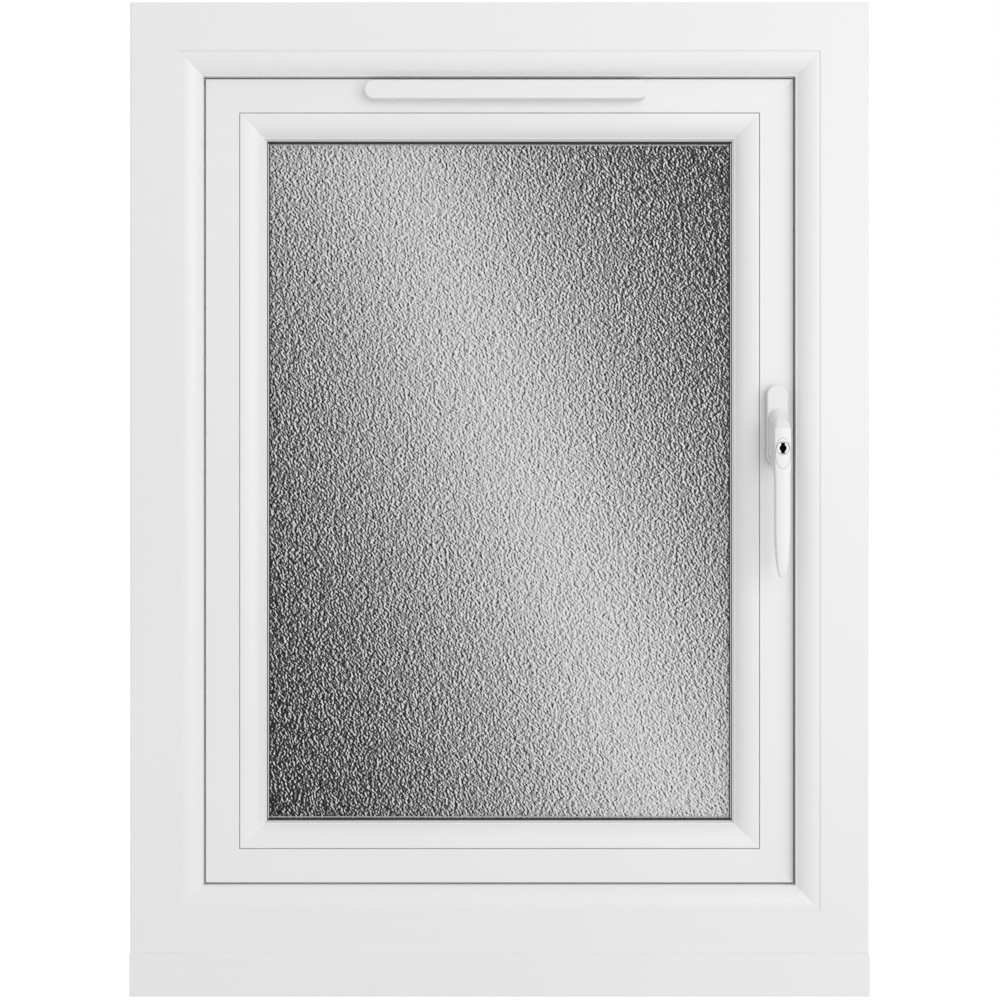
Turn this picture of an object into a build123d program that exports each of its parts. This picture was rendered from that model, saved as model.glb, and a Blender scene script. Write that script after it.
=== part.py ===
from build123d import *
from math import cos, hypot, radians, sin
import os

# Side-hung casement window on its cill. Millimetres; x runs to the handle side,
# y to the weather side, z up from the cill's underside at mid-width.
# Sections are drawn as (u, y): u is the distance in from the frame's outer edge.

# Overall
width = 610.0
frame_height = 790.0
frame_depth = 70.0
wall = 2.8

# Cill
cill_height = 30.0
cill_lip_height = 5.0
cill_lip_proud = 3.5
cill_reach = 111.5
cill_nose = 21.0
cill_step = 3.0
cill_run = 5.0
nose_depth = 7.5
drip_inset = 11.5
drip_width = 4.0
drip_depth = 3.0
cill_ease = 1.0
cill_lip_ease = 0.8
cill_toe_ease = 0.6
cap_thickness = 3.0

# Outer frame section
flat_edge = 40.0
sight_edge = 58.8
sight_land = 0.9
rebate_edge = 42.0
ovolo_step = 0.8
ovolo_drop = 8.8
ovolo_lean = 0.9
ovolo_rise = 0.2
ovolo_skin = 0.6
edge_ease = 1.0
sight_ease = 0.2
upstand_depth = 22.0
steel_chamber_end = 13.0
web = 2.4

# Sash section
sash_edge = 54.0
nose_gap = 1.1
nose_ease = 0.6
rebate_ease = 0.4
flange_edge = 34.0
bead_edge = 88.0
glazing_edge = 89.0
leg_edge = 106.0
sash_room = -21.0
shoulder = -9.5
sash_out = 43.0
flange_thickness = 5.0
flange_ease = 1.0
leg_ovolo = 14.0
leg_bow = 0.41
leg_bow_depth = 4.5
leg_skin_start = 1.0
leg_skin_bow = 0.57
leg_skin_depth = 6.2
leg_toe = 5.0
clip_depth = 3.5
clip_reach = 2.5

# Bead, glass and seals
daylight_edge = 108.0
bead_lip = 1.6
bead_lip_front = 1.7
bead_lip_back = 1.3
bead_foot_gap = 1.0
bead_ease = 0.5
bead_flat = 2.5
bead_lean = 2.0
bead_rise = 0.3
bead_skin_lean = 1.0
bead_skin_rise = 1.2
bead_skin_foot = 0.3
bead_land = 0.7
bead_drop = 9.2
bead_gap = 0.5
bead_gap_depth = 4.0
gasket_show = 1.5
gasket_cover = 13.0
glass_gap = 5.0
glass_room = -5.0
pane = 4.0
cavity = 20.0
spacer_inset = 2.0
spacer_width = 7.0
seal_thickness = 3.0
seal_inset = 1.0
seal_nose_gap = 0.2
seal_rebate_gap = 0.5
gasket_bevel = 0.8

# Trickle vent
vent_x = 5.7
vent_length = 235.0
vent_height = 15.6
vent_depth = 10.5
vent_u = 70.9
vent_wall = 1.8
slot_length = 92.0
slot_height = 9.0
canopy_height = 20.0
canopy_depth = 14.0
canopy_top = 4.0
canopy_face = 2.0
slot_gap = 14.0
canopy_round = 1.5
canopy_skin = 0.8
vent_round = 1.0

# Handle
handle_u = 75.0
pivot_z = 471.2
plate_length = 66.8
plate_width = 17.2
plate_thickness = 11.5
plate_bevel = 0.8
pin_radius = 6.0
pin_clearance = 0.1
pin_length = 6.0
lever_gap = 0.5
neck_width = 14.8
neck_rise = 13.2
neck_foot = 14.0
fan_drop = 44.0
lock_width = 13.6
lock_round = 1.2
grip_width = 12.5
grip_thickness = 9.5
grip_front = 38.0
edge_round = 1.8
taper_drop = 86.0
lever_reach = 125.8
tip_onset = 1.5
tip_fullness = 0.37
tip_deepness = 0.6
insert_drop = 24.3
insert_width = 12.2
insert_length = 25.2
insert_depth = 1.5
insert_proud = 0.3
insert_fit = 0.2
barrel_drop = 20.1
barrel_radius = 5.15
barrel_length = 8.0
barrel_fit = 0.3
barrel_bevel = 0.3
key_slot_width = 3.2
key_slot_length = 9.0
key_round_radius = 2.9
key_depth = 6.0

# Drainage caps on the weather side
drain_spacing = 360.0
drain_length = 38.0
drain_height = 12.0
drain_thickness = 4.0
drain_bevel = 1.2
drain_u = 17.0

# How far inside its corner the middle of a quarter round lies, and how far a cut runs past a face
round_share = 0.29
overcut = 1.0

room = -frame_depth / 2
out = frame_depth / 2
sill_z = cill_height
top_z = cill_height + frame_height
mid_z = (sill_z + top_z) / 2
half_w = width / 2
nose_edge = sight_edge + nose_gap
glass_edge = glazing_edge + glass_gap
spacer_edge = glass_edge + spacer_inset
bead_lip_edge = daylight_edge + bead_lip
glass_out = glass_room + pane + cavity + pane

# One section plane per side: its x runs inward, its y to the weather side
sides = {
    "head": (Plane((0, 0, top_z), (0, 0, -1), (1, 0, 0)), half_w),
    "bottom": (Plane((0, 0, sill_z), (0, 0, 1), (-1, 0, 0)), half_w),
    "hinge": (Plane((-half_w, 0, mid_z), (1, 0, 0), (0, 0, 1)), frame_height / 2),
    "lock": (Plane((half_w, 0, mid_z), (-1, 0, 0), (0, 0, -1)), frame_height / 2),
}


def frame_section():
    ovolo_end = room + ovolo_drop
    back = room + upstand_depth
    land = sight_edge - sight_land
    with BuildLine() as outline:
        Polyline(
            (0, out),
            (0, room + edge_ease),
            (edge_ease, room),
            (flat_edge, room),
            (flat_edge, room + ovolo_step),
        )
        ThreePointArc(
            (flat_edge, room + ovolo_step),
            ((flat_edge + land) / 2 + ovolo_lean, room + ovolo_drop / 4 + ovolo_rise),
            (land, ovolo_end),
        )
        Polyline(
            (land, ovolo_end),
            (sight_edge - sight_ease, ovolo_end),
            (sight_edge, ovolo_end + sight_ease),
            (sight_edge, back),
            (rebate_edge, back),
            (rebate_edge, out),
            (0, out),
        )
    make_face(outline.edges())
    # room chamber, reinforcement chamber, weather chamber
    Polygon(
        (wall, room + wall),
        (flat_edge, room + ovolo_step + wall),
        ((flat_edge + land) / 2, room + ovolo_drop / 4 + wall),
        (sight_edge - wall, ovolo_end + ovolo_skin),
        (sight_edge - wall, back - wall),
        (wall, back - wall),
        align=None,
        mode=Mode.SUBTRACT,
    )
    chamber(wall, rebate_edge - wall, back - wall + web, steel_chamber_end)
    chamber(wall, rebate_edge - wall, steel_chamber_end + web, out - wall)


def chamber(u0, u1, y0, y1):
    Polygon((u0, y0), (u1, y0), (u1, y1), (u0, y1), align=None, mode=Mode.SUBTRACT)


def sash_section():
    leg = glass_out + seal_thickness
    flange = sash_out - flange_thickness
    with BuildLine() as outline:
        Polyline(
            (leg_edge, leg + leg_toe),
            (leg_edge, leg),
            (glazing_edge, leg),
            (glazing_edge, shoulder),
            (bead_edge - clip_reach, shoulder),
            (bead_edge - clip_reach, shoulder - clip_depth),
            (bead_edge, shoulder - clip_depth),
            (bead_edge, sash_room + rebate_ease),
            (bead_edge - rebate_ease, sash_room),
            (nose_edge + nose_ease, sash_room),
            (nose_edge, sash_room + nose_ease),
            (nose_edge, shoulder),
            (sash_edge, shoulder),
            (sash_edge, flange),
            (flange_edge, flange),
            (flange_edge, sash_out - flange_ease),
            (flange_edge + flange_ease, sash_out),
            (leg_edge - leg_ovolo, sash_out),
        )
        ThreePointArc(
            (leg_edge - leg_ovolo, sash_out),
            (leg_edge - leg_bow * leg_ovolo, sash_out - leg_bow_depth),
            (leg_edge, leg + leg_toe),
        )
    make_face(outline.edges())
    # nose chamber, reinforcement chamber, weather chamber
    Polygon(
        (nose_edge + wall, sash_room + wall),
        (bead_edge - wall, sash_room + wall),
        (bead_edge - wall, shoulder - clip_depth - wall),
        (bead_edge - clip_reach - wall, shoulder - clip_depth - wall),
        (bead_edge - clip_reach - wall, shoulder + wall - web),
        (nose_edge + wall, shoulder + wall - web),
        align=None,
        mode=Mode.SUBTRACT,
    )
    chamber(sash_edge + wall, glazing_edge - wall, shoulder + wall, leg - wall)
    Polygon(
        (sash_edge + wall, leg - wall + web),
        (glazing_edge - wall, leg - wall + web),
        (glazing_edge - wall, leg + wall),
        (leg_edge - wall, leg + wall),
        (leg_edge - wall, leg + leg_toe),
        (leg_edge - leg_skin_bow * leg_ovolo, sash_out - leg_skin_depth),
        (leg_edge - leg_ovolo - leg_skin_start, sash_out - wall),
        (sash_edge + wall, sash_out - wall),
        align=None,
        mode=Mode.SUBTRACT,
    )


def bead_section():
    seat = glass_room - seal_thickness
    land = daylight_edge - bead_land
    foot = sash_room + bead_drop
    outer = bead_edge + bead_gap
    with BuildLine() as outline:
        Polyline(
            (land, foot),
            (daylight_edge, foot),
            (daylight_edge, seat - bead_lip_front),
            (bead_lip_edge, seat - bead_lip_back),
            (bead_lip_edge, seat),
            (glazing_edge + bead_foot_gap, seat),
            (glazing_edge + bead_foot_gap, shoulder),
            (bead_edge - clip_reach, shoulder),
            (bead_edge - clip_reach, shoulder - clip_depth),
            (bead_edge, shoulder - clip_depth),
            (bead_edge, sash_room + bead_gap_depth),
            (outer, sash_room + bead_gap_depth),
            (outer, sash_room + bead_ease),
            (outer + bead_ease, sash_room),
            (outer + bead_flat, sash_room),
        )
        ThreePointArc(
            (outer + bead_flat, sash_room),
            ((outer + land) / 2 + bead_lean, sash_room + bead_drop / 4 + bead_rise),
            (land, foot),
        )
    make_face(outline.edges())
    Polygon(
        (outer + wall, sash_room + wall),
        ((outer + land) / 2 - bead_skin_lean, sash_room + wall + bead_skin_rise),
        (land - wall, foot + bead_skin_foot),
        (land - wall, seat - wall),
        (outer + wall, seat - wall),
        align=None,
        mode=Mode.SUBTRACT,
    )


def mitred(section, where):
    # one length of a section with a 45 degree mitre at each end
    plane, half = sides[where]
    with BuildPart() as bar:
        with BuildSketch(plane):
            section()
        extrude(amount=half, both=True)
        for end in (1, -1):
            corner = plane.origin + plane.z_dir * (half * end)
            slope = plane.x_dir + plane.z_dir * end
            split(bisect_by=Plane(corner, (0, 1, 0), slope), keep=Keep.BOTTOM)
    return bar


def facing(y, z=mid_z, x=0.0):
    # a plane square to the depth, its normal to the weather side
    return Plane((x, y, z), (1, 0, 0), (0, 1, 0))


def ring(outer, inner, y0, y1, bevel=0.0):
    # a closed rectangular ring between two depths
    with BuildPart() as loop:
        with BuildSketch(facing(y0)):
            Rectangle(width - 2 * outer, frame_height - 2 * outer)
            Rectangle(width - 2 * inner, frame_height - 2 * inner, mode=Mode.SUBTRACT)
        extrude(amount=y1 - y0)
        if bevel:
            ends = loop.faces().sort_by(Axis.Y)[0].inner_wires()[0].edges()
            chamfer(ends, bevel)
    return loop


def sheet(edge, y0, y1):
    with BuildPart() as plate:
        with BuildSketch(facing(y0)):
            Rectangle(width - 2 * edge, frame_height - 2 * edge)
        extrude(amount=y1 - y0)
    return plate


def cill_outline():
    lip_top = cill_height + cill_lip_height
    front = room - cill_lip_proud
    nose_y = cill_reach - nose_depth
    drip_y = cill_reach - drip_inset
    with BuildLine() as outline:
        Polyline(
            (nose_y, cill_nose),
            (out + cill_run, cill_height - cill_step),
            (out + cill_ease, cill_height),
            (room, cill_height),
            (room, lip_top),
            (front + cill_lip_ease, lip_top),
            (front, lip_top - cill_lip_ease),
            (front, cill_toe_ease),
            (front + cill_toe_ease, 0),
            (drip_y, 0),
            (drip_y, drip_depth),
            (drip_y + drip_width, drip_depth),
            (drip_y + drip_width, 0),
            (cill_reach - cill_ease, 0),
            (cill_reach, cill_ease),
            (cill_reach, cill_nose - nose_depth),
        )
        ThreePointArc(
            (cill_reach, cill_nose - nose_depth),
            (cill_reach - round_share * nose_depth, cill_nose - round_share * nose_depth),
            (nose_y, cill_nose),
        )
    make_face(outline.edges())


def cill_length(x0, x1, hollow):
    crest = cill_height - cill_step
    slope = (crest - cill_nose) / (cill_reach - nose_depth - out - cill_run)
    tail = cill_reach - drip_inset - wall
    split = (out + tail) / 2
    with BuildPart() as length:
        with BuildSketch(Plane((x0, 0, 0), (0, 1, 0), (1, 0, 0))):
            cill_outline()
            if hollow:
                chamber(room - cill_lip_proud + wall, -web / 2, wall, cill_height - wall)
                chamber(web / 2, out - web / 2, wall, cill_height - wall)
                for y0, y1 in ((out + web / 2, split - web / 2), (split + web / 2, tail)):
                    tops = [crest - wall - slope * max(y - out - cill_run, 0) for y in (y0, y1)]
                    corners = ((y0, wall), (y1, wall), (y1, tops[1]), (y0, tops[0]))
                    Polygon(*corners, align=None, mode=Mode.SUBTRACT)
        extrude(amount=x1 - x0)
    return length


pieces = {}

# Outer frame, sash and beads: four mitred lengths each
for side, suffix in (
    ("head", "head"),
    ("bottom", "bottom_rail"),
    ("hinge", "hinge_jamb"),
    ("lock", "lock_jamb"),
):
    pieces["frame_" + suffix] = mitred(frame_section, side)

for side, suffix in (
    ("head", "top_rail"),
    ("bottom", "bottom_rail"),
    ("hinge", "hinge_stile"),
    ("lock", "lock_stile"),
):
    pieces["sash_" + suffix] = mitred(sash_section, side)

for side, suffix in (("head", "top"), ("bottom", "bottom"), ("hinge", "left"), ("lock", "right")):
    pieces["bead_" + suffix] = mitred(bead_section, side)

# Glazing unit
pieces["inner_pane"] = sheet(glass_edge, glass_room, glass_room + pane)
pieces["outer_pane"] = sheet(glass_edge, glass_out - pane, glass_out)
spacer_in = spacer_edge + spacer_width
pieces["pane_spacer"] = ring(spacer_edge, spacer_in, glass_room + pane, glass_out - pane)

# Seals
seat_y = glass_room - seal_thickness
gasket_in = bead_lip_edge + gasket_show
gasket_out = gasket_in - gasket_cover
pieces["glazing_gasket_inside"] = ring(gasket_out, gasket_in, seat_y, glass_room, gasket_bevel)
leg_y = glass_out + seal_thickness
pieces["glazing_gasket_outside"] = ring(glass_edge + seal_inset, leg_edge + gasket_show, glass_out, leg_y)
upstand_back = room + upstand_depth
flange_y = sash_out - flange_thickness
nose_seal = nose_edge - seal_nose_gap
rebate_seal = rebate_edge - seal_rebate_gap
pieces["weather_seal_inside"] = ring(sash_edge + seal_inset, nose_seal, upstand_back, shoulder)
pieces["weather_seal_outside"] = ring(flange_edge + seal_inset, rebate_seal, out, flange_y)

# Trickle vent: cover on the room side, canopy on the weather side, routed slots between
vent_z = top_z - vent_u
with BuildPart() as vent_cover:
    with BuildSketch(facing(sash_room, vent_z, vent_x)):
        SlotOverall(vent_length, vent_height)
    extrude(amount=-vent_depth)
    fillet(vent_cover.faces().sort_by(Axis.Y)[0].edges(), vent_round)
    with BuildSketch(facing(sash_room, vent_z, vent_x)):
        SlotOverall(vent_length - 2 * vent_wall, vent_height - 2 * vent_wall)
    extrude(amount=-(vent_depth - vent_wall), mode=Mode.SUBTRACT)
pieces["vent_cover"] = vent_cover

with BuildPart() as vent_canopy:
    with BuildSketch(Plane((vent_x - vent_length / 2, sash_out, vent_z), (0, 1, 0), (1, 0, 0))):
        Polygon(
            (0, canopy_height / 2),
            (canopy_top, canopy_height / 2),
            (canopy_depth, canopy_face),
            (canopy_depth, -canopy_height / 2),
            (0, -canopy_height / 2),
            align=None,
        )
    extrude(amount=vent_length)
    fillet(vent_canopy.edges().filter_by(GeomType.LINE).group_by(Axis.Y)[-1], canopy_round)
    with BuildSketch(Plane((vent_x - vent_length / 2 + vent_wall, sash_out, vent_z), (0, 1, 0), (1, 0, 0))):
        Polygon(
            (0, canopy_height / 2 - vent_wall),
            (canopy_top - canopy_skin, canopy_height / 2 - vent_wall),
            (canopy_depth - vent_wall, canopy_face - canopy_skin),
            (canopy_depth - vent_wall, -canopy_height / 2),
            (0, -canopy_height / 2),
            align=None,
        )
    extrude(amount=vent_length - 2 * vent_wall, mode=Mode.SUBTRACT)
pieces["vent_canopy"] = vent_canopy

with BuildPart() as sash_top:
    add(pieces["sash_top_rail"].part)
    with BuildSketch(facing(sash_room - overcut, vent_z, vent_x)):
        with GridLocations(slot_length + slot_gap, 0, 2, 1):
            SlotOverall(slot_length, slot_height)
    extrude(amount=sash_out - sash_room + 2 * overcut, mode=Mode.SUBTRACT)
pieces["sash_top_rail"] = sash_top

# Handle: plate fixed to the lock stile, lever turning about the depth axis
handle_x = half_w - handle_u
plate_face = sash_room - plate_thickness
with BuildPart() as handle_backplate:
    with BuildSketch(facing(sash_room, pivot_z, handle_x)):
        SlotOverall(plate_length, plate_width, rotation=90)
    extrude(amount=-plate_thickness)
    chamfer(handle_backplate.faces().sort_by(Axis.Y)[0].edges(), plate_bevel)
    with BuildSketch(facing(plate_face, pivot_z, handle_x)):
        Circle(pin_radius + pin_clearance)
    extrude(amount=pin_length + overcut, mode=Mode.SUBTRACT)
pieces["handle_backplate"] = handle_backplate

# The lever's sections fan out of the neck's foot, run straight down the grip and taper to the tip
neck_y = plate_face - lever_gap
front_y = sash_room - grip_front
back_y = front_y + grip_thickness
grip_y = (front_y + back_y) / 2
fan_z = pivot_z - fan_drop
front_run = neck_y - front_y
back_run = neck_y - back_y
crown = fan_drop + neck_rise


def neck_front(turn):
    return front_run / sin(radians(turn))


def neck_arch(turn):
    lean = radians(turn)
    return neck_foot * back_run / hypot(back_run * cos(lean), neck_foot * sin(lean))


# turn, distance to the outer face, width, corner radius
neck_sections = (
    (0, crown, neck_width, neck_width / 2 - 0.2),
    (11, crown - 3.8, neck_width - 0.3, 6.4),
    (22, crown - 6.7, neck_width - 0.7, 4.6),
    (33, neck_front(33), lock_width, 2.0),
    (45, neck_front(45), lock_width, lock_round),
    (67.5, neck_front(67.5), lock_width - 0.3, lock_round),
    (90, front_run, grip_width, edge_round),
)
tip_shares = (0, 0.25, 0.5, 0.7, 0.84, 0.93, 0.98, 0.997)
with BuildPart() as handle_lever:
    for turn, outer, wide, corner in neck_sections:
        lean = radians(turn)
        inner = neck_arch(turn)
        with BuildSketch(Plane((handle_x, neck_y, fan_z), (1, 0, 0), (0, -cos(lean), -sin(lean)))):
            with Locations((0, (inner + outer) / 2)):
                RectangleRounded(wide, outer - inner, corner)
    loft(ruled=True)
    with BuildSketch(Plane((handle_x, grip_y, fan_z), (1, 0, 0), (0, 0, -1))):
        RectangleRounded(grip_width, grip_thickness, edge_round)
    extrude(amount=taper_drop - fan_drop)
    for share in tip_shares:
        drop = taper_drop + share * (lever_reach - taper_drop)
        shrink = (1 - share**tip_onset) ** tip_fullness
        deep = grip_thickness * shrink**tip_deepness
        with BuildSketch(Plane((handle_x, grip_y, pivot_z - drop), (1, 0, 0), (0, 0, -1))):
            RectangleRounded(grip_width * shrink, deep, edge_round * shrink)
    loft(ruled=True)
    with BuildSketch(facing(neck_y, pivot_z, handle_x)):
        Circle(pin_radius)
    extrude(amount=pin_length + lever_gap)
    with BuildSketch(facing(front_y - overcut, pivot_z - insert_drop, handle_x)):
        Ellipse(insert_width / 2 + insert_fit, insert_length / 2 + insert_fit)
    extrude(amount=insert_depth + overcut, mode=Mode.SUBTRACT)
    with BuildSketch(facing(front_y, pivot_z - barrel_drop, handle_x)):
        Circle(barrel_radius + barrel_fit)
    extrude(amount=barrel_length, mode=Mode.SUBTRACT)
pieces["handle_lever"] = handle_lever

with BuildPart() as lock_insert:
    with BuildSketch(facing(front_y + insert_depth, pivot_z - insert_drop, handle_x)):
        Ellipse(insert_width / 2, insert_length / 2)
    extrude(amount=-(insert_depth + insert_proud))
    chamfer(lock_insert.faces().sort_by(Axis.Y)[0].edges(), insert_proud)
    with BuildSketch(facing(front_y - overcut, pivot_z - barrel_drop, handle_x)):
        Circle(barrel_radius + barrel_fit)
    extrude(amount=insert_depth + 2 * overcut, mode=Mode.SUBTRACT)
pieces["lock_insert"] = lock_insert

with BuildPart() as lock_barrel:
    with BuildSketch(facing(front_y + barrel_length, pivot_z - barrel_drop, handle_x)):
        Circle(barrel_radius)
    extrude(amount=-(barrel_length + insert_proud))
    chamfer(lock_barrel.faces().sort_by(Axis.Y)[0].edges(), barrel_bevel)
    with BuildSketch(facing(front_y - insert_proud, pivot_z - barrel_drop, handle_x)):
        Rectangle(key_slot_width, key_slot_length)
        Circle(key_round_radius)
    extrude(amount=key_depth, mode=Mode.SUBTRACT)
pieces["lock_barrel"] = lock_barrel

# Cill and its end caps
cill_half = half_w - cap_thickness
pieces["cill"] = cill_length(-cill_half, cill_half, True)
pieces["cill_end_cap_left"] = cill_length(-half_w, -cill_half, False)
pieces["cill_end_cap_right"] = cill_length(cill_half, half_w, False)

# Drainage caps over the outer frame's drain slots
with BuildPart() as drain_caps:
    with BuildSketch(facing(out, sill_z + drain_u)):
        with GridLocations(drain_spacing, 0, 2, 1):
            SlotOverall(drain_length, drain_height)
    extrude(amount=drain_thickness)
    chamfer(drain_caps.faces().group_by(Axis.Y)[-1].edges(), drain_bevel)
pieces["drain_caps"] = drain_caps

os.makedirs("parts", exist_ok=True)
for name, piece in pieces.items():
    piece.part.label = name
    export_step(piece.part, "parts/" + name + ".step")
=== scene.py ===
import math
import bpy
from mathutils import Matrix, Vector

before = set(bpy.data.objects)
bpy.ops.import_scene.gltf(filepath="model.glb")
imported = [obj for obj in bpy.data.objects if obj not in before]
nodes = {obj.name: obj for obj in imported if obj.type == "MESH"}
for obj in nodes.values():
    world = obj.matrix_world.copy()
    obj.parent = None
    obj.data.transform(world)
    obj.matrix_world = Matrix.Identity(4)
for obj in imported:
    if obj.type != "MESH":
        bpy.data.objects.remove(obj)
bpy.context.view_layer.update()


class Wire:  # one socket, so that shader maths reads as sums
    def __init__(self, owner, socket):
        self.owner = owner
        self.socket = socket

    def __add__(self, other):
        return self.owner.maths("ADD", self, other)

    def __sub__(self, other):
        return self.owner.maths("SUBTRACT", self, other)

    def __rsub__(self, other):
        return self.owner.maths("SUBTRACT", other, self)

    def __mul__(self, other):
        return self.owner.maths("MULTIPLY", self, other)

    def __truediv__(self, other):
        return self.owner.maths("DIVIDE", self, other)

    def __pow__(self, other):
        return self.owner.maths("POWER", self, other)

    __radd__ = __add__


class Nodes:  # a node tree and the few calls that fill it
    def __init__(self, tree):
        self.tree = tree

    def node(self, kind, settings=None, sockets=None, out=0):
        made = self.tree.nodes.new(kind)
        for key, value in (settings or {}).items():
            setattr(made, key, value)
        for key, value in (sockets or {}).items():
            self.put(made.inputs[key], value)
        return Wire(self, made.outputs[out])

    def put(self, socket, value):
        if isinstance(value, Wire):
            self.tree.links.new(value.socket, socket)
        elif socket.type == "RGBA":
            socket.default_value = (*value, 1)
        else:
            socket.default_value = value

    def maths(self, operation, first, second=0.0):
        return self.node("ShaderNodeMath", {"operation": operation}, {0: first, 1: second})

    def straightRays(self):  # 1 for what the camera sees, directly, mirrored or through glass
        camera, mirrored, through = [
            self.node("ShaderNodeLightPath", out="Is " + kind + " Ray")
            for kind in ("Camera", "Glossy", "Transmission")
        ]
        return camera + mirrored + through


class Finish(Nodes):  # one material
    def __init__(self, name):
        self.material = bpy.data.materials.new(name)
        self.material.use_nodes = True
        super().__init__(self.material.node_tree)
        self.shader = self.tree.nodes["Principled BSDF"]
        self.place = self.node("ShaderNodeTexCoord", out="Object")

    def axes(self):
        parts = self.tree.nodes.new("ShaderNodeSeparateXYZ")
        self.put(parts.inputs[0], self.place)
        return [Wire(self, socket) for socket in parts.outputs]

    def stretch(self, x, y, z, turn=(0, 0, 0), shift=(0, 0, 0)):  # lengths along the turned axes
        sockets = {"Vector": self.place, "Location": shift, "Rotation": turn, "Scale": (x, y, z)}
        return self.node("ShaderNodeMapping", {"vector_type": "TEXTURE"}, sockets)

    def noise(self, scale, detail=2.0, vector=None):
        sockets = {"Vector": vector or self.place, "Scale": scale, "Detail": detail}
        return self.node("ShaderNodeTexNoise", None, sockets)

    def step(self, value, low, high):  # 0 below low, 1 above high, smooth between
        settings = {"interpolation_type": "SMOOTHSTEP"}
        sockets = {"Value": value, "From Min": low, "From Max": high}
        return self.node("ShaderNodeMapRange", settings, sockets)

    def past(self, value, start, reach=0.0001):  # 0 before start, 1 once past it by reach
        return self.step(value, start, start + reach)

    def within(self, value, low, high, soft=0.0001):  # 1 between low and high
        entered = self.step(value, low - soft, low + soft)
        left = self.step(value, high - soft, high + soft)
        return entered * (1 - left)

    def depthIn(self):  # how far in from the frame's outer edges, sideways and up or down
        x, y, z = self.axes()
        side = window["halfWidth"] - self.maths("ABSOLUTE", x)
        level = window["halfHeight"] - self.maths("ABSOLUTE", z - window["middle"])
        return side, level

    def blend(self, factor, first, second):
        sockets = {0: factor, 6: first, 7: second}
        return self.node("ShaderNodeMix", {"data_type": "RGBA"}, sockets, out=2)

    def bump(self, height, distance, strength=1.0, under=None):
        sockets = {"Height": height, "Distance": distance, "Strength": strength}
        if under:
            sockets["Normal"] = under
        return self.node("ShaderNodeBump", None, sockets)

    def set(self, **values):
        for key, value in values.items():
            self.put(self.shader.inputs[key.replace("_", " ")], value)


def dress(finish, *names):
    for name in names:
        slots = nodes[name].data.materials
        slots.clear()
        slots.append(finish.material)


# Sizes that the finishes share, in metres
window = {"halfWidth": 0.305, "halfHeight": 0.395, "middle": 0.425, "lip": 0.1081, "sight": 0.1111}

# White extruded plastic of the frame, sash, beads and cill
plastic = {
    "white": (0.851, 0.851, 0.851),
    "dull": (0.834, 0.834, 0.834),
    "cloudScale": 3.1,
    "cloudEdges": (0.3, 0.7),
    # grey of the bead's lip, partly its own colour and partly painted shade; uprightFade paints it
    # paler on the upright beads
    "lip": (0.60, 0.625, 0.61),
    "uprightFade": 0.65,
    "mitreSoft": 0.0005,
    # painted shadow on the lock stile's room face beside the gap
    "gapShadow": 0.56,
    "gapShadowTone": (0.02, 0.02, 0.02),
    "gapShadowEdge": 0.2465,
    "gapShadowReach": 0.0034,
    "gapShadowDepth": -0.0205,
    "gapShadowFade": 0.0005,
    "roughness": 0.30,
    "smear": 0.08,
    "smearScale": 26,
    "smearDetail": 3,
    "grainScale": 900,
    "grainDepth": 0.00004,
    "grainStrength": 0.5,
    "ior": 1.5,
}


def makePlastic(name, drift=0.0, lipped=False, gapShadowed=False):
    finish = Finish(name)
    cloud = finish.noise(plastic["cloudScale"] + drift)
    grain = finish.noise(plastic["grainScale"])
    smear = finish.noise(plastic["smearScale"], plastic["smearDetail"])
    tone = finish.step(cloud, *plastic["cloudEdges"])
    colour = finish.blend(tone, plastic["white"], plastic["dull"])
    if lipped:  # the softer lip that the bead presses on the glass: a grey lip colour with painted shade, kept greyer on the top and bottom beads than on the upright ones
        side, level = finish.depthIn()
        inner = finish.past(finish.maths("MINIMUM", side, level), window["lip"])
        upright = finish.past(level - side, 0.0, plastic["mitreSoft"])
        colour = finish.blend(inner * (1 - upright * plastic["uprightFade"]), colour, plastic["lip"])
    if gapShadowed:  # painted shadow: the room face beside the lock is painted darker towards the gap, where the frame's lip shades it
        x, y, z = finish.axes()
        nearing = finish.maths("EXPONENT", (x - plastic["gapShadowEdge"]) / plastic["gapShadowReach"])
        gapShadow = finish.maths("MINIMUM", nearing, 1.0)
        roomFace = 1 - finish.past(y, plastic["gapShadowDepth"], plastic["gapShadowFade"])
        colour = finish.blend(gapShadow * roomFace * plastic["gapShadow"], colour, plastic["gapShadowTone"])
    finish.set(
        Base_Color=colour,
        Roughness=plastic["roughness"] + smear * plastic["smear"],
        Normal=finish.bump(grain, plastic["grainDepth"], plastic["grainStrength"]),
        IOR=plastic["ior"],
    )
    return finish


# Black rubber of every seal
rubber = {
    "dark": (0.012, 0.013, 0.014),
    "dusty": (0.035, 0.037, 0.038),
    "dustScale": 70,
    "dustDetail": 4,
    "dustEdges": (0.35, 0.75),
    # light line painted along the gasket's edge as a painted highlight
    "wearAndSheen": (0.76, 0.78, 0.77),
    "sheenStart": 0.0008,
    "sheenEnd": 0.0002,
    "roughness": 0.55,
    "dustRoughness": 0.15,
    "grainScale": 1500,
    "grainDepth": 0.00005,
    "grainStrength": 0.6,
}


def makeRubber(name, paintedSheen=False):
    finish = Finish(name)
    dust = finish.step(finish.noise(rubber["dustScale"], rubber["dustDetail"]), *rubber["dustEdges"])
    grain = finish.noise(rubber["grainScale"])
    colour = finish.blend(dust, rubber["dark"], rubber["dusty"])
    if paintedSheen:  # painted highlight: a light line along the gasket's edge on both sides, where it catches the light
        side, level = finish.depthIn()
        edge = window["sight"]
        sheenBand = finish.within(side, edge - rubber["sheenStart"], edge - rubber["sheenEnd"])
        colour = finish.blend(sheenBand * finish.past(level, edge), colour, rubber["wearAndSheen"])
    finish.set(
        Base_Color=colour,
        Roughness=rubber["roughness"] + dust * rubber["dustRoughness"],
        Normal=finish.bump(grain, rubber["grainDepth"], rubber["grainStrength"]),
    )
    return finish
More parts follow.
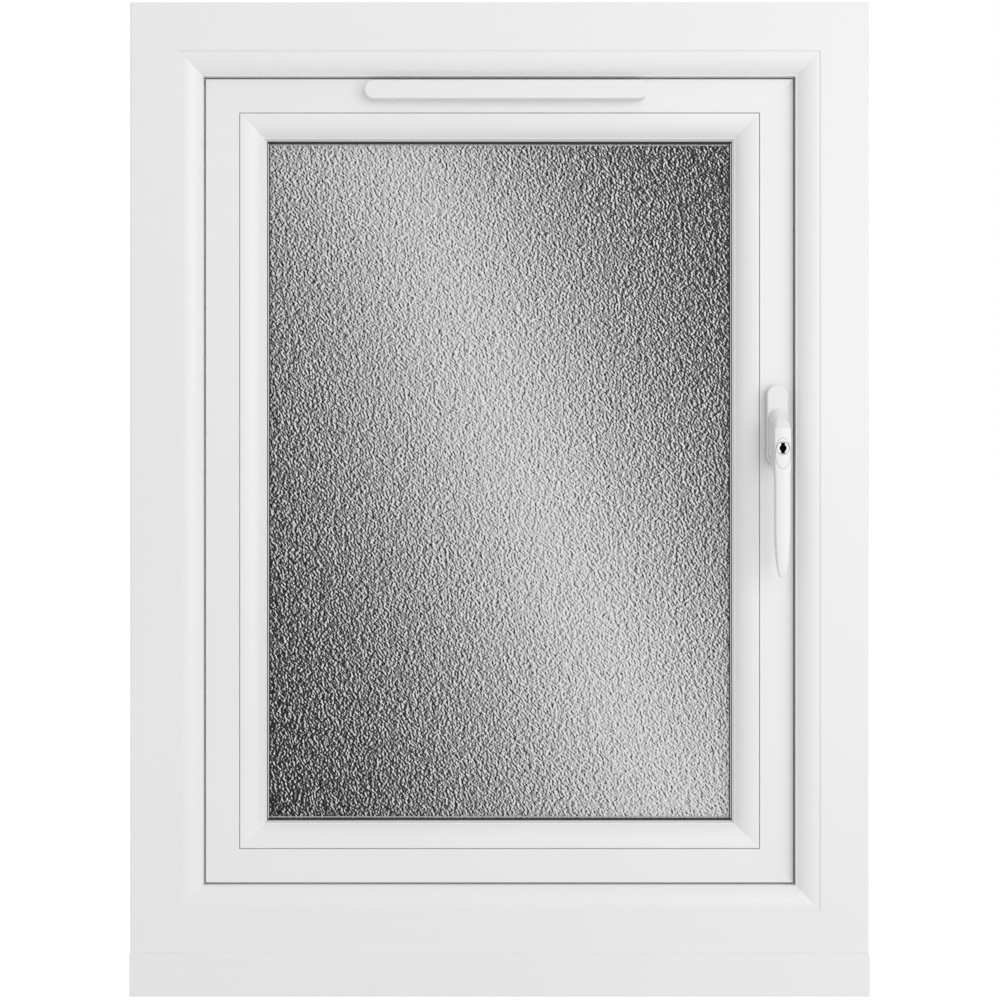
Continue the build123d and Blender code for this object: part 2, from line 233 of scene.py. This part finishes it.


# Stippled glass of the room pane: painted shading of a fine leaning relief over painted reflections in
# soft light and dark bands
stipple = {
    "grain": 700.0,
    "grainDetail": 1.2,
    "lean": math.radians(-30),
    "pull": 1.42,
    "reach": 0.0006,
    "gain": 1.45,
    "gainRise": 3.1,
    "clumpScale": 230,
    "clumpGain": 3.0,
    "clumpDrop": 0.5,
    "swellGrain": 560.0,
    "swell": 0.2,
    "middle": 0.43,
    "bandAcross": 2.0,
    "bandUp": 0.9,
    "bandShift": 0.045,
    "bandCore": 0.1,
    "wander": 0.1,
    "wanderScale": 2.3,
    "peak": 0.763,
    "fall": 1.02,
    "lowerLift": 0.09,
    "darkest": 0.03,
    "span": 0.87,
    "contrast": 2.2,
    "shutStart": 0.001,
    "shutEnd": 0.0004,
    "shut": 0.9,
    "rimStart": 0.0003,
    "rimEnd": 0.0013,
    "rim": 0.5,
    "depth": 0.0005,
    "strength": 0.6,
    "roughness": 0.22,
    "ior": 1.3,
}


def makeStippledGlass():
    finish = Finish("stippledGlass")
    x, y, z = finish.axes()
    turn = (0, stipple["lean"], 0)
    right, left = [
        finish.noise(
            stipple["grain"],
            stipple["grainDetail"],
            finish.stretch(1, 1, stipple["pull"], turn, (shift, 0, 0)),
        )
        for shift in (stipple["reach"], -stipple["reach"])
    ]
    # painted reflection: zero along the bright diagonal
    wander = (finish.noise(stipple["wanderScale"], 1) - 0.5) * stipple["wander"]
    diagonal = x * stipple["bandAcross"] + (z - stipple["middle"]) * stipple["bandUp"]
    band = diagonal - stipple["bandShift"] + wander
    core = stipple["bandCore"]
    away = ((band * band + core * core) ** 0.5 - core) * stipple["fall"]
    # the relief's lit and shaded flanks
    clump = finish.noise(stipple["clumpScale"]) * stipple["clumpGain"] - stipple["clumpDrop"]
    swelling = finish.noise(stipple["swellGrain"], 1, finish.stretch(1, 1, stipple["pull"], turn)) - 0.5
    flanks = right - left + swelling * stipple["swell"]
    slope = flanks * (stipple["gain"] + away * stipple["gainRise"]) * clump
    facing = stipple["peak"] + (stipple["middle"] - z) * stipple["lowerLift"] - away + slope
    tone = stipple["darkest"] + finish.step(facing, 0.0, 1.0) * stipple["span"]
    # painted shade where the unit's sides shut the light out, and a painted light line along its top
    # and bottom
    side, level = finish.depthIn()
    edge = window["sight"]
    shut = finish.within(side, edge - stipple["shutStart"], edge + stipple["shutEnd"])
    rim = finish.within(level, edge + stipple["rimStart"], edge + stipple["rimEnd"])
    shade = tone ** stipple["contrast"] * (1 - shut * stipple["shut"])
    grey = shade * (1 - rim) + rim * stipple["rim"]
    finish.set(
        Base_Color=finish.blend(grey, (0.0, 0.0, 0.0), (1.0, 1.0, 1.0)),
        Roughness=stipple["roughness"],
        Normal=finish.bump(right, stipple["depth"], stipple["strength"]),
        IOR=stipple["ior"],
    )
    return finish


# Clear glass of the weather pane
clear = {
    "tint": (0.86, 0.93, 0.9),
    "rippleScale": 5,
    "roughness": 0.02,
    "smear": 0.02,
    "alpha": 0.16,
    "alphaRise": 0.06,
    "depth": 0.0002,
    "strength": 0.2,
    "ior": 1.5,
}


def makeClearGlass():
    finish = Finish("clearGlass")
    ripple = finish.noise(clear["rippleScale"], 1)
    finish.set(
        Base_Color=clear["tint"],
        Roughness=clear["roughness"] + ripple * clear["smear"],
        Alpha=clear["alpha"] + ripple * clear["alphaRise"],
        Normal=finish.bump(ripple, clear["depth"], clear["strength"]),
        IOR=clear["ior"],
    )
    return finish


# Brushed metal of the spacer between the panes
spacer = {
    "dull": (0.62, 0.63, 0.64),
    "bright": (0.75, 0.76, 0.77),
    "brushScale": 420,
    "brushDetail": 3,
    "brushPull": 12,
    "roughness": 0.35,
    "brushRoughness": 0.15,
}


def makeSpacer():
    finish = Finish("spacerMetal")
    along = finish.stretch(1, spacer["brushPull"], 1)
    brushed = finish.noise(spacer["brushScale"], spacer["brushDetail"], along)
    finish.set(
        Base_Color=finish.blend(brushed, spacer["dull"], spacer["bright"]),
        Metallic=1.0,
        Roughness=spacer["roughness"] + brushed * spacer["brushRoughness"],
    )
    return finish


# Powder-coated handle: plate and lever share one coat, and the plate's darker grey is painted shade
paint = {
    "lever": (0.84, 0.84, 0.84),
    "plateShaded": (0.78, 0.78, 0.78),
    # painted shade on the plate's side walls near the sash
    "foot": (0.5, 0.5, 0.5),
    "footDepth": -0.0319,
    "footReach": 0.008,
    "cloudScale": 18,
    "cloudShade": 0.98,
    "roughness": 0.22,
    "cloudRoughness": 0.06,
    "peelScale": 420,
    "peel": 0.00006,
    "peelStrength": 0.5,
    "middle": 0.23,
    "crown": 16.0,
    "ior": 1.5,
}


def makePaint(name, tone, crowned=False):
    finish = Finish(name)
    x, y, z = finish.axes()
    peel = finish.noise(paint["peelScale"])
    cloud = finish.noise(paint["cloudScale"])
    shaded = [part * paint["cloudShade"] for part in paint[tone]]
    colour = finish.blend(cloud, paint[tone], shaded)
    under = None
    if crowned:  # front face swells softly across its width
        across = x - paint["middle"]
        under = finish.bump(across * across * -paint["crown"], 1.0)
    else:  # painted shade: the plate's side walls are painted darker towards the sash, where they stand in its shade
        foot = finish.past(y, paint["footDepth"], paint["footReach"])
        colour = finish.blend(foot, colour, paint["foot"])
    finish.set(
        Base_Color=colour,
        Roughness=paint["roughness"] + cloud * paint["cloudRoughness"],
        Normal=finish.bump(peel, paint["peel"], paint["peelStrength"], under),
        IOR=paint["ior"],
    )
    return finish


# Moulded plastic of the vent's cover and canopy
vent = {
    "white": (0.833, 0.833, 0.833),
    "dull": (0.82, 0.82, 0.82),
    "cloudScale": 9,
    "roughness": 0.38,
    "cloudRoughness": 0.08,
    "grainScale": 1100,
    "grainDepth": 0.00005,
    "grainStrength": 0.5,
    "ior": 1.5,
}


def makeVentPlastic():
    finish = Finish("ventPlastic")
    cloud = finish.noise(vent["cloudScale"])
    grain = finish.noise(vent["grainScale"])
    finish.set(
        Base_Color=finish.blend(cloud, vent["white"], vent["dull"]),
        Roughness=vent["roughness"] + cloud * vent["cloudRoughness"],
        Normal=finish.bump(grain, vent["grainDepth"], vent["grainStrength"]),
        IOR=vent["ior"],
    )
    return finish


# Lock barrel: bright face, with painted shade: the keyway and side behind the face are painted black
lock = {
    "face": (0.9, 0.9, 0.9),
    "wearAndSheen": (0.84, 0.84, 0.84),
    "black": (0.004, 0.004, 0.004),
    "faceDepth": -0.0588,
    "faceFade": 0.0002,
    "turnedScale": 700,
    "turnedDetail": 3,
    "roughness": 0.3,
    "turnedRoughness": 0.12,
    "ior": 1.1,
}


def makeLockMetal():
    finish = Finish("lockMetal")
    x, y, z = finish.axes()
    turned = finish.noise(lock["turnedScale"], lock["turnedDetail"])
    face = finish.blend(turned, lock["face"], lock["wearAndSheen"])
    # painted shade: black behind the face, in the keyway and down the side
    inside = finish.past(y, lock["faceDepth"], lock["faceFade"])
    finish.set(
        Base_Color=finish.blend(inside, face, lock["black"]),
        Roughness=lock["roughness"] + turned * lock["turnedRoughness"],
        IOR=lock["ior"],
    )
    return finish


def dressAll():  # the number drifts the cloud, so that no two groups match
    framePlastic = makePlastic("framePlastic")
    sashPlastic = makePlastic("sashPlastic", 0.9)
    beadPlastic = makePlastic("beadPlastic", 1.7, lipped=True)
    cillPlastic = makePlastic("cillPlastic", 0.4)
    sealRubber = makeRubber("sealRubber")
    dress(framePlastic, "frame_head", "frame_bottom_rail", "frame_hinge_jamb", "frame_lock_jamb")
    dress(sashPlastic, "sash_top_rail", "sash_bottom_rail", "sash_hinge_stile")
    dress(makePlastic("lockStilePlastic", 0.9, gapShadowed=True), "sash_lock_stile")
    dress(beadPlastic, "bead_top", "bead_bottom", "bead_left", "bead_right")
    dress(cillPlastic, "cill", "cill_end_cap_left", "cill_end_cap_right", "drain_caps")
    dress(makeRubber("gasketRubber", paintedSheen=True), "glazing_gasket_inside")
    dress(sealRubber, "glazing_gasket_outside", "weather_seal_inside", "weather_seal_outside")
    dress(makeStippledGlass(), "inner_pane")
    dress(makeClearGlass(), "outer_pane")
    dress(makeSpacer(), "pane_spacer")
    dress(makeVentPlastic(), "vent_cover", "vent_canopy")
    # the plate's grey is the lever's coat with painted shade
    dress(makePaint("platePaint", "plateShaded"), "handle_backplate")
    dress(makePaint("leverPaint", "lever", crowned=True), "handle_lever", "lock_insert")
    dress(makeLockMetal(), "lock_barrel")
    print("finishes done")


# Floor, surroundings and one large lamp from the upper right of the room
studio = {
    "floorHalf": 12.0,
    "floorTone": (0.8, 0.8, 0.8),
    "floorRoughness": 0.9,
    "floorGlow": 0.55,
    "white": (1.0, 1.0, 1.0),
    "backdrop": 1.0,
    "fill": 0.76,
    "keyPlace": (1.6, -2.4, 0.9),
    "keySize": (2.6, 2.2),
    "keyWatts": 30.5,
    "aim": (0.0, 0.0, 0.42),
}


def makeFloor():
    bpy.ops.object.select_all(action="DESELECT")
    bpy.ops.mesh.primitive_plane_add(size=2 * studio["floorHalf"], location=(0, 0, 0))
    floor = bpy.context.object
    floor.name = "floor"
    finish = Finish("floorPaint")
    finish.set(
        Base_Color=studio["floorTone"],
        Roughness=studio["floorRoughness"],
        Specular_IOR_Level=0.0,
        Emission_Color=studio["white"],
        Emission_Strength=finish.straightRays() * studio["floorGlow"],
    )
    floor.data.materials.append(finish.material)
    print("floor done")


def makeSurroundings():  # white behind the object, a softer light on it
    world = bpy.data.worlds.new("surroundings")
    world.use_nodes = True
    bpy.context.scene.world = world
    sky = Nodes(world.node_tree)
    background = sky.tree.nodes["Background"].inputs
    sockets = {"Value": sky.straightRays(), "To Min": studio["fill"], "To Max": studio["backdrop"]}
    sky.put(background["Color"], studio["white"])
    sky.put(background["Strength"], sky.node("ShaderNodeMapRange", None, sockets))
    print("surroundings done")


def makeLamp():
    bpy.ops.object.light_add(type="AREA", location=studio["keyPlace"])
    key = bpy.context.object
    key.name = "keyLight"
    key.data.shape = "RECTANGLE"
    key.data.size, key.data.size_y = studio["keySize"]
    key.data.energy = studio["keyWatts"]
    throw = Vector(studio["aim"]) - Vector(studio["keyPlace"])
    key.rotation_euler = throw.to_track_quat("-Z", "Y").to_euler()
    print("lamp done")


# The camera stands square to the room face, at the photograph's distance
view = {
    "distance": 1.400,
    "fieldWidth": 0.8254,
    "height": 0.409,
    "aside": 0.0004,
    "roomFace": -0.035,
    "sensorWidth": 36.0,
}


def makeCamera():
    place = (view["aside"], view["roomFace"] - view["distance"], view["height"])
    bpy.ops.object.camera_add(location=place, rotation=(math.radians(90), 0, 0))
    camera = bpy.context.object
    camera.data.sensor_width = view["sensorWidth"]
    camera.data.lens = view["sensorWidth"] * view["distance"] / view["fieldWidth"]
    bpy.context.scene.camera = camera
    print("camera done")


dressAll()
makeFloor()
makeSurroundings()
makeLamp()
makeCamera()
bpy.context.scene.view_settings.view_transform = "Standard"
